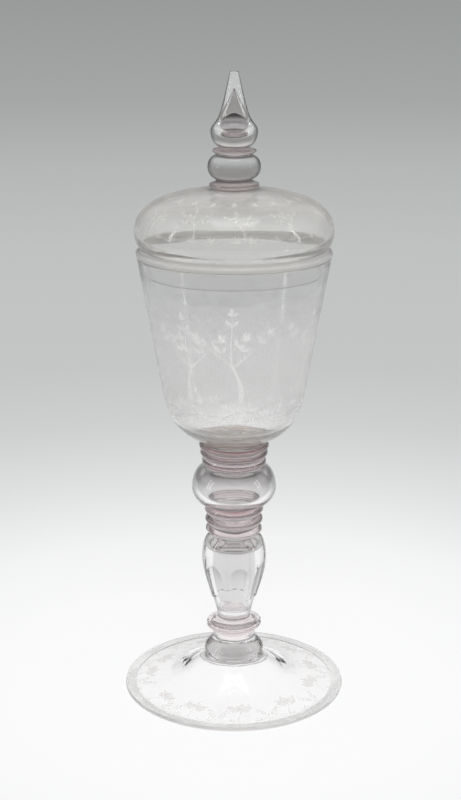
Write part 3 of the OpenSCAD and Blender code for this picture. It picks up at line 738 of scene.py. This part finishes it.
def matte_cut(name, colour, cover, fade):
    """Matte ground glass: scatters light back and on, and covers part of what is behind it, in fine grains.

    A stroke has two sides, so the side that is met from within lets everything through. A fade is a height,
    and the distances from it, up and down, between which the cover thins out.
    """
    material = bpy.data.materials.new(name)
    material.use_nodes = True
    nodes, links = material.node_tree.nodes, material.node_tree.links
    back = nodes["Principled BSDF"]
    back.inputs["Base Color"].default_value = (*colour, 1)
    back.inputs["Roughness"].default_value = MATTE
    onward = nodes.new("ShaderNodeBsdfTranslucent")
    onward.inputs["Color"].default_value = (*colour, 1)
    scatter = nodes.new("ShaderNodeMixShader")
    scatter.inputs["Fac"].default_value = ONWARD_SHARE
    links.new(back.outputs["BSDF"], scatter.inputs[1])
    links.new(onward.outputs["BSDF"], scatter.inputs[2])
    place = nodes.new("ShaderNodeTexCoord")
    grain = nodes.new("ShaderNodeTexNoise")
    grain.inputs["Scale"].default_value = GRAINS
    links.new(place.outputs["Object"], grain.inputs["Vector"])
    ground = nodes.new("ShaderNodeMapRange")
    ground.inputs["From Min"].default_value = GRAIN_LOW
    ground.inputs["From Max"].default_value = GRAIN_HIGH
    ground.inputs["To Min"].default_value = (1 - GRAIN_SPREAD) * cover
    ground.inputs["To Max"].default_value = (1 + GRAIN_SPREAD) * cover
    links.new(grain.outputs["Fac"], ground.inputs["Value"])
    side = nodes.new("ShaderNodeNewGeometry")
    outer = nodes.new("ShaderNodeMath")
    outer.operation = "SUBTRACT"
    outer.use_clamp = True
    links.new(ground.outputs["Result"], outer.inputs[0])
    links.new(side.outputs["Backfacing"], outer.inputs[1])
    if fade is not None:
        split = nodes.new("ShaderNodeSeparateXYZ")
        links.new(place.outputs["Object"], split.inputs["Vector"])
        middle, near, far = fade
        off = nodes.new("ShaderNodeMath")
        off.operation = "SUBTRACT"
        off.inputs[1].default_value = middle
        links.new(split.outputs["Z"], off.inputs[0])
        away = nodes.new("ShaderNodeMath")
        away.operation = "ABSOLUTE"
        links.new(off.outputs["Value"], away.inputs[0])
        thin = nodes.new("ShaderNodeMapRange")
        thin.interpolation_type = "SMOOTHSTEP"
        thin.inputs["From Min"].default_value = near
        thin.inputs["From Max"].default_value = far
        thin.inputs["To Max"].default_value = FADE_DEPTH * cover
        links.new(away.outputs["Value"], thin.inputs["Value"])
        less = nodes.new("ShaderNodeMath")
        less.operation = "SUBTRACT"
        less.use_clamp = True
        links.new(outer.outputs["Value"], less.inputs[0])
        links.new(thin.outputs["Result"], less.inputs[1])
        outer = less
    through = nodes.new("ShaderNodeBsdfTransparent")
    both = nodes.new("ShaderNodeMixShader")
    links.new(outer.outputs["Value"], both.inputs["Fac"])
    links.new(through.outputs["BSDF"], both.inputs[1])
    links.new(scatter.outputs["Shader"], both.inputs[2])
    links.new(both.outputs["Shader"], nodes["Material Output"].inputs["Surface"])
    return material


def engraving(name, node, points, faces, beneath, cover, fade=None):
    """Matte piece on a node's glass, riding on the node's body; seen from beneath it is fainter."""
    colour = CUT_COLOURS[node]
    finishes = [matte_cut(name, colour, cover, fade),
                matte_cut(name + "_beneath", colour, cover * BENEATH, fade)]
    piece = add_piece(name, hand_made(points.reshape(-1, 3)), faces, finishes, beneath)
    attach(piece, BODY_OF[node])
    return piece


def outer_stretch(node, outward):
    """Part of a skin's outline before its widest point, or after it, from there on."""
    path = SKINS[node][0]
    widest = int(np.argmax(path[:, 0]))
    return path[1:widest + 1] if outward else path[widest:-1]


def frosted_band(chart, start, end, rows):
    """Closed low ring from a start to a wavy end, a sum of sines: a top and a bottom sheet of rows."""
    angle = np.arange(BAND_SEGMENTS)[:, None] * 2 * math.pi / BAND_SEGMENTS
    inner = end + sum(size * np.sin(turns * angle + phase) for size, turns, phase in BAND_WAVES)
    share = np.linspace(0, 1, rows)
    share, lift = np.concatenate([share, share[::-1]]), np.repeat([LIFT[1], LIFT[4]], rows)
    points = on_glass(chart, angle, 0 * angle, (start + (inner - start) * share) * MM, lift)
    loop = 2 * rows
    here, side = np.meshgrid(np.arange(BAND_SEGMENTS), np.arange(loop), indexing="ij")
    there, beside = (here + 1) % BAND_SEGMENTS, (side + 1) % loop
    quads = np.stack([here * loop + side, there * loop + side,
                      there * loop + beside, here * loop + beside], -1)
    return points, quads.reshape(-1, 4).tolist(), (side >= rows - 1).reshape(-1)


BOWL_CHART = chart_of(outer_stretch("bowl", True))
bowl_strokes = np.vstack(
    [planted(tree(RNG.uniform(46, 55)), a, BOWL_GROUND + RNG.uniform(-3, 1)) for a in around(8, 0.16, 0.1)]
    + [planted(hill(RNG.uniform(26, 42), RNG.uniform(3, 6), 16), a, BOWL_GROUND - RNG.uniform(2, 18))
       for a in around(24, 0.1, 0.3)]
    + [planted(fan(RNG.uniform(4, 7), 6, 0.06), a, BOWL_GROUND - RNG.uniform(0, 20))
       for a in around(80, 0.0, 0.4)]
    + [planted(scratches(30, 26, 48), a, BOWL_GROUND - 2) for a in around(9)])
bowl_engraving = engraving("bowl_engraving", "bowl", stroke_points(bowl_strokes, BOWL_CHART),
                           *stroke_faces(len(bowl_strokes)), STROKE_COVER["bowl"])
bowl_band = engraving("bowl_band", "bowl", *frosted_band(BOWL_CHART, *BOWL_BAND),
                      BAND_COVER["bowl"], BOWL_FADE)
print("bowl strokes:", len(bowl_strokes))

# %% Engraving of the cover
COVER_CHART = chart_of(outer_stretch("cover_dome", False))
cover_strokes = np.vstack(
    [planted(tree(RNG.uniform(17, 22)), a, COVER_GROUND) for a in around(12, 0.1, 0.12)]
    + [planted(fan(RNG.uniform(3, 5), 6, 0.07), a, COVER_GROUND - 1) for a in around(30, 0.0, 0.3)]
    + [planted(hill(RNG.uniform(20, 30), 2.5, 12), a, COVER_GROUND - 2) for a in around(14, 0.0, 0.2)]
    + [planted(petal(9, 9), a, PETALS) for a in around(20)])
cover_engraving = engraving("cover_engraving", "cover_dome", stroke_points(cover_strokes, COVER_CHART),
                            *stroke_faces(len(cover_strokes)), STROKE_COVER["cover_dome"])
dome = SKINS["cover_dome"][0]
groove = np.flatnonzero(dome[:np.argmax(dome[:, 0]), 1] < RIMS["cover_dome"][1])[-1]
DOME_CHART = chart_of(dome[groove:-1])
cover_band = engraving("cover_band", "cover_dome", *frosted_band(DOME_CHART, *COVER_BAND),
                       BAND_COVER["cover_dome"])
print("cover strokes:", len(cover_strokes))

# %% Engraving of the foot
FOOT_CHART = chart_of(outer_stretch("foot", False))
foot_strokes = np.vstack(
    [planted(young_tree(RNG.uniform(16, 21)), a, FOOT_GROUND - 1) for a in around(11, 0.1, 0.15)]
    + [planted(forked_sprig(RNG.uniform(12, 15)), a, FOOT_GROUND) for a in around(11, 0.38, 0.15)]
    + [planted(fan(RNG.uniform(3, 4.5), 5, 0.08), a, FOOT_GROUND - 1) for a in around(30, 0.0, 0.4)])
foot_engraving = engraving("foot_engraving", "foot", stroke_points(foot_strokes, FOOT_CHART),
                           *stroke_faces(len(foot_strokes)), STROKE_COVER["foot"])
foot_band = engraving("foot_band", "foot", *frosted_band(FOOT_CHART, *FOOT_BAND), BAND_COVER["foot"])
print("foot strokes:", len(foot_strokes), "band faces:", len(foot_band.data.polygons))

# %% [markdown]
# ## The studio
#
# The goblet stands on a white table that runs out into a grey backdrop. One very large disc does both: its
# colour depends on the distance from the goblet, so it looks the same from every side. Part of that colour
# is its own light, as on a lit paper sweep, and part is diffuse, so the goblet keeps its soft shadow. Right
# under the foot the colour is brighter than the table round it: a painted pool of light.

# %% Table and backdrop
FLOOR_DROP = 0.15 * MM
FLOOR_R = 60.0
# The first two stops are a painted pool of light: the table under the foot is brighter than around it
SWEEP_WITH_PAINTED_POOL = [(0.0, 1.0), (0.058, 1.0), (0.066, 0.925), (0.12, 0.92), (0.2, 0.87), (0.28, 0.73),
         (0.36, 0.61), (0.44, 0.55), (0.6, 0.53), (0.71, 0.47), (0.8, 0.385), (0.95, 0.32)]
SWEEP_FADE = (0.05, 0.0, 0.005)
OWN_LIGHT = 0.9
GLOW = 1.06


def tone(nodes, stops, fade):
    """Colour ramp from a list of places and grey levels, with a hue that sets in as they darken."""
    ramp = nodes.new("ShaderNodeValToRGB")
    marks = ramp.color_ramp.elements
    while len(marks) < len(stops):
        marks.new(0.5)
    for mark, (place, level) in zip(marks, stops):
        mark.position = place
        mark.color = (*(level * (1 - loss * (1 - level)) for loss in fade), 1)
    return ramp


def sweep_finish():
    """Paper sweep: grey level by r / (r + 1 m), shared out between own light and a diffuse surface; brighter
    under the foot, a painted pool of light.
    """
    material = bpy.data.materials.new("paper_sweep")
    material.use_nodes = True
    nodes, links = material.node_tree.nodes, material.node_tree.links
    nodes.remove(nodes["Principled BSDF"])
    place = nodes.new("ShaderNodeTexCoord")
    far = nodes.new("ShaderNodeVectorMath")
    far.operation = "LENGTH"
    links.new(place.outputs["Object"], far.inputs[0])
    beyond = nodes.new("ShaderNodeMath")
    beyond.operation = "ADD"
    beyond.inputs[1].default_value = 1.0
    links.new(far.outputs["Value"], beyond.inputs[0])
    share = nodes.new("ShaderNodeMath")
    share.operation = "DIVIDE"
    links.new(far.outputs["Value"], share.inputs[0])
    links.new(beyond.outputs["Value"], share.inputs[1])
    ramp = tone(nodes, SWEEP_WITH_PAINTED_POOL, SWEEP_FADE)
    links.new(share.outputs["Value"], ramp.inputs["Fac"])
    glow = nodes.new("ShaderNodeEmission")
    glow.inputs["Strength"].default_value = GLOW
    paper = nodes.new("ShaderNodeBsdfDiffuse")
    both = nodes.new("ShaderNodeMixShader")
    both.inputs["Fac"].default_value = OWN_LIGHT
    links.new(ramp.outputs["Color"], glow.inputs["Color"])
    links.new(ramp.outputs["Color"], paper.inputs["Color"])
    links.new(paper.outputs["BSDF"], both.inputs[1])
    links.new(glow.outputs["Emission"], both.inputs[2])
    links.new(both.outputs["Shader"], nodes["Material Output"].inputs["Surface"])
    return material


def disc(radius, drop, rings=24, segments=96):
    """Flat disc whose rings widen evenly on a logarithmic scale, from 5 cm to its radius."""
    angle = np.arange(segments) * 2 * math.pi / segments
    r = np.geomspace(0.05, radius, rings)[:, None] * np.ones(segments)
    grid = np.stack([r * np.cos(angle), r * np.sin(angle), np.full(r.shape, -drop)], -1).reshape(-1, 3)
    row, column = np.meshgrid(np.arange(rings - 1), np.arange(segments), indexing="ij")
    beside = (column + 1) % segments
    quads = np.stack([row * segments + column, (row + 1) * segments + column,
                      (row + 1) * segments + beside, row * segments + beside], -1).reshape(-1, 4)
    return grid, quads.tolist() + [list(range(segments))]


table = add_piece("table", *disc(FLOOR_R, FLOOR_DROP), [sweep_finish()])
print("table:", FLOOR_R, "m radius")

# %% [markdown]
# ## The light
#
# Soft boxes hang over and beside the table. The world stands for the room: grey at the height of the
# horizon, as the top of the backdrop is, and light higher up, where the soft boxes and the ceiling are. Glass
# edges then gather the grey and its rims the light, which is what draws their lines; on the lumps the dark
# outline is also painted shade in the colour of the glass. The box in front lights
# the matte cutting. Every curve would mirror its square, so it is hidden from mirrors and from glass.

# %% World and soft boxes
ROOM = [(0.0, 0.34), (0.03, 0.28), (0.22, 0.26), (0.36, 0.58), (0.6, 0.62), (0.82, 0.45), (1.0, 0.6)]
ROOM_FADE = (0.0, 0.02, 0.04)


def room_light():
    """World whose grey level depends on the height of the direction: 0 at the horizon, 1 overhead."""
    world = bpy.data.worlds.new("room")
    bpy.context.scene.world = world
    world.use_nodes = True
    nodes, links = world.node_tree.nodes, world.node_tree.links
    place = nodes.new("ShaderNodeTexCoord")
    split = nodes.new("ShaderNodeSeparateXYZ")
    links.new(place.outputs["Generated"], split.inputs["Vector"])
    ramp = tone(nodes, ROOM, ROOM_FADE)
    links.new(split.outputs["Z"], ramp.inputs["Fac"])
    links.new(ramp.outputs["Color"], nodes["Background"].inputs["Color"])
    return world


def soft_box(name, place, aim, size, radiance):
    """Rectangular lamp at a place, turned to its aim: its power is radiance times pi times its area."""
    lamp = bpy.data.lights.new(name, "AREA")
    lamp.shape = "RECTANGLE"
    lamp.size, lamp.size_y = size
    lamp.energy = radiance * math.pi * size[0] * size[1]
    box = bpy.data.objects.new(name, lamp)
    bpy.context.scene.collection.objects.link(box)
    box.location = place
    way = np.array(aim) - np.array(place)
    flat = math.hypot(way[0], way[1])
    box.rotation_euler = (math.pi / 2 + math.atan2(way[2], flat), 0, math.atan2(way[1], way[0]) - math.pi / 2)
    box.visible_camera = False
    return box


room_light()
LAMPS = [soft_box("soft_box_left", (-1.3, -0.3, 0.6), (0, 0, 0.2), (0.07, 0.9), 6.0),
         soft_box("soft_box_right", (1.3, -0.3, 0.6), (0, 0, 0.2), (0.07, 0.9), 6.0),
         soft_box("soft_box_top", (0.0, -0.1, 1.7), (0, 0, 0.2), (0.8, 0.8), 1.7),
         soft_box("soft_box_front", (0.1, -1.6, 1.8), (0, 0, 0.2), (1.2, 1.2), 5.2)]
FRONT = LAMPS[-1]
FRONT.visible_glossy = False
FRONT.visible_transmission = False
print("lamps:", [lamp.name for lamp in LAMPS])

# %% [markdown]
# ## The camera
#
# The photograph looks slightly down on the goblet through a long lens. Height, distance and lens follow
# from the ellipses of foot and rim, which flatten more the lower the camera stands.

# %% Camera
CAMERA_PLACE = (-0.00215, -0.89349, 0.44752)
CAMERA_TILT = math.radians(90 - 16.302)
CAMERA_LENS, SENSOR_WIDTH = 69.24, 36

eye = bpy.data.cameras.new("camera")
eye.lens = CAMERA_LENS
eye.sensor_width = SENSOR_WIDTH
camera = bpy.data.objects.new("camera", eye)
bpy.context.scene.collection.objects.link(camera)
camera.location = CAMERA_PLACE
camera.rotation_euler = (CAMERA_TILT, 0, 0)
bpy.context.scene.camera = camera

scene = bpy.context.scene
scene.view_settings.view_transform = "Standard"
scene.cycles.max_bounces = 32
scene.cycles.transmission_bounces = 32
scene.cycles.glossy_bounces = 12
scene.cycles.transparent_max_bounces = 32
print("camera:", CAMERA_PLACE)
